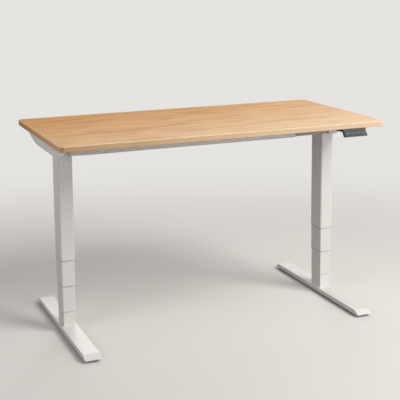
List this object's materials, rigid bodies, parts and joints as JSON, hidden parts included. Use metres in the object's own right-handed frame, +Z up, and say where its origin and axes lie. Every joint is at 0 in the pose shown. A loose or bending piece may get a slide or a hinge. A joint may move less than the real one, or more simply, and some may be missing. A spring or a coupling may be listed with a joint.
{
  "type": "height adjustable standing desk",
  "caption": "Height adjustable standing desk: light wood top on telescopic columns with spindle drives, extending crossbar, flat feet and a handset under the front edge.",
  "frame": {"origin": "on the floor, midway between the columns and under the middle of the feet", "axes": "+X to the right along the front edge, +Y from the user's side to the back, +Z up"},
  "size_m": [1.4, 0.75, 0.838],
  "materials": {
    "oak_top": "light oak veneer, satin lacquer",
    "frame_paint": "light grey-white powder coat, fine texture",
    "guide_plastic": "black slide plastic",
    "spindle_steel": "turned steel",
    "motor_steel": "dark steel and die-cast",
    "rail_steel": "dark grey powder coat",
    "bolt_steel": "black oxide",
    "screw_steel": "zinc plated",
    "glide_plastic": "black",
    "control_plastic": "black, fine grain",
    "handset_black": "black, fine grain",
    "face_grey": "grey",
    "button_black": "black, soft",
    "display": "dark tinted window",
    "board": "green circuit board"
  },
  "bodies": {
    "desk_frame": {"tabletop": "oak_top", "wood_screws": "screw_steel", "frame_bolts": "bolt_steel", "front_cross_tube": "frame_paint", "rear_cross_tube": "frame_paint", "front_cross_rail": "rail_steel", "rear_cross_rail": "rail_steel", "rail_sleeves": "guide_plastic", "rail_lock_screws": "bolt_steel", "control_plate": "control_plastic", "control_case": "control_plastic", "control_sockets": "control_plastic", "control_board": "board", "case_screws": "bolt_steel", "handset_body": "handset_black", "handset_face": "face_grey", "display_window": "display", "handset_board": "board", "left_head": "frame_paint", "left_bracket": "frame_paint", "left_gearmotor": "motor_steel", "left_outer_tube": "frame_paint", "left_outer_guide": "guide_plastic", "right_head": "frame_paint", "right_bracket": "frame_paint", "right_gearmotor": "motor_steel", "right_outer_tube": "frame_paint", "right_outer_guide": "guide_plastic"},
    "left_middle": {"left_middle_tube": "frame_paint", "left_middle_guides": "guide_plastic"},
    "left_inner": {"left_inner_tube": "frame_paint", "left_inner_guide": "guide_plastic", "left_guide_tube": "spindle_steel", "left_foot_post": "frame_paint", "left_foot": "frame_paint", "left_foot_bolts": "bolt_steel"},
    "left_drive": {"left_drive_spindle": "spindle_steel"},
    "left_hollow": {"left_hollow_spindle": "spindle_steel"},
    "left_front_levelling": {"left_front_glide": "glide_plastic"},
    "left_rear_levelling": {"left_rear_glide": "glide_plastic"},
    "right_middle": {"right_middle_tube": "frame_paint", "right_middle_guides": "guide_plastic"},
    "right_inner": {"right_inner_tube": "frame_paint", "right_inner_guide": "guide_plastic", "right_guide_tube": "spindle_steel", "right_foot_post": "frame_paint", "right_foot": "frame_paint", "right_foot_bolts": "bolt_steel"},
    "right_drive": {"right_drive_spindle": "spindle_steel"},
    "right_hollow": {"right_hollow_spindle": "spindle_steel"},
    "right_front_levelling": {"right_front_glide": "glide_plastic"},
    "right_rear_levelling": {"right_rear_glide": "glide_plastic"},
    "up_button": {"button_up": "button_black"},
    "down_button": {"button_down": "button_black"},
    "one_button": {"button_one": "button_black"},
    "two_button": {"button_two": "button_black"},
    "three_button": {"button_three": "button_black"},
    "memory_button": {"button_memory": "button_black"}
  },
  "joints": [
    {"name": "left_middle_slide", "type": "slide", "parent": "desk_frame", "child": "left_middle", "axis": [0, 0, -1], "range_m": [-0.106, 0.215]},
    {"name": "left_inner_slide", "type": "slide", "parent": "left_middle", "child": "left_inner", "axis": [0, 0, -1], "range_m": [-0.106, 0.215]},
    {"name": "left_drive_turn", "type": "hinge", "parent": "desk_frame", "child": "left_drive", "pos_m": [-0.6, 0, 0.6], "axis": [0, 0, 1], "range_deg": [-4771, 9676]},
    {"name": "left_hollow_turn", "type": "hinge", "parent": "left_middle", "child": "left_hollow", "pos_m": [-0.6, 0, 0.6], "axis": [0, 0, 1], "range_deg": [-2386, 4838]},
    {"name": "left_front_glide_out", "type": "slide", "parent": "left_inner", "child": "left_front_levelling", "axis": [0, 0, -1], "range_m": [0, 0.008]},
    {"name": "left_rear_glide_out", "type": "slide", "parent": "left_inner", "child": "left_rear_levelling", "axis": [0, 0, -1], "range_m": [0, 0.008]},
    {"name": "right_middle_slide", "type": "slide", "parent": "desk_frame", "child": "right_middle", "axis": [0, 0, -1], "range_m": [-0.106, 0.215]},
    {"name": "right_inner_slide", "type": "slide", "parent": "right_middle", "child": "right_inner", "axis": [0, 0, -1], "range_m": [-0.106, 0.215]},
    {"name": "right_drive_turn", "type": "hinge", "parent": "desk_frame", "child": "right_drive", "pos_m": [0.6, 0, 0.6], "axis": [0, 0, 1], "range_deg": [-4771, 9676]},
    {"name": "right_hollow_turn", "type": "hinge", "parent": "right_middle", "child": "right_hollow", "pos_m": [0.6, 0, 0.6], "axis": [0, 0, 1], "range_deg": [-2386, 4838]},
    {"name": "right_front_glide_out", "type": "slide", "parent": "right_inner", "child": "right_front_levelling", "axis": [0, 0, -1], "range_m": [0, 0.008]},
    {"name": "right_rear_glide_out", "type": "slide", "parent": "right_inner", "child": "right_rear_levelling", "axis": [0, 0, -1], "range_m": [0, 0.008]},
    {"name": "up_press", "type": "slide", "parent": "desk_frame", "child": "up_button", "axis": [0, 0.788, -0.6157], "range_m": [0, 0.0006], "stiffness_N_per_m": 300, "springref_m": -0.001},
    {"name": "down_press", "type": "slide", "parent": "desk_frame", "child": "down_button", "axis": [0, 0.788, -0.6157], "range_m": [0, 0.0006], "stiffness_N_per_m": 300, "springref_m": -0.001},
    {"name": "one_press", "type": "slide", "parent": "desk_frame", "child": "one_button", "axis": [0, 0.788, -0.6157], "range_m": [0, 0.0006], "stiffness_N_per_m": 300, "springref_m": -0.001},
    {"name": "two_press", "type": "slide", "parent": "desk_frame", "child": "two_button", "axis": [0, 0.788, -0.6157], "range_m": [0, 0.0006], "stiffness_N_per_m": 300, "springref_m": -0.001},
    {"name": "three_press", "type": "slide", "parent": "desk_frame", "child": "three_button", "axis": [0, 0.788, -0.6157], "range_m": [0, 0.0006], "stiffness_N_per_m": 300, "springref_m": -0.001},
    {"name": "memory_press", "type": "slide", "parent": "desk_frame", "child": "memory_button", "axis": [0, 0.788, -0.6157], "range_m": [0, 0.0006], "stiffness_N_per_m": 300, "springref_m": -0.001}
  ],
  "couplings": [
    {"joint": "left_drive_turn", "follows": "left_middle_slide", "rad_per_m": 785.4},
    {"joint": "left_hollow_turn", "follows": "left_middle_slide", "rad_per_m": 392.7},
    {"joint": "left_inner_slide", "follows": "left_middle_slide", "ratio": 1},
    {"joint": "right_drive_turn", "follows": "left_middle_slide", "rad_per_m": 785.4},
    {"joint": "right_hollow_turn", "follows": "left_middle_slide", "rad_per_m": 392.7},
    {"joint": "right_inner_slide", "follows": "left_middle_slide", "ratio": 1},
    {"joint": "right_middle_slide", "follows": "left_middle_slide", "ratio": 1}
  ]
}
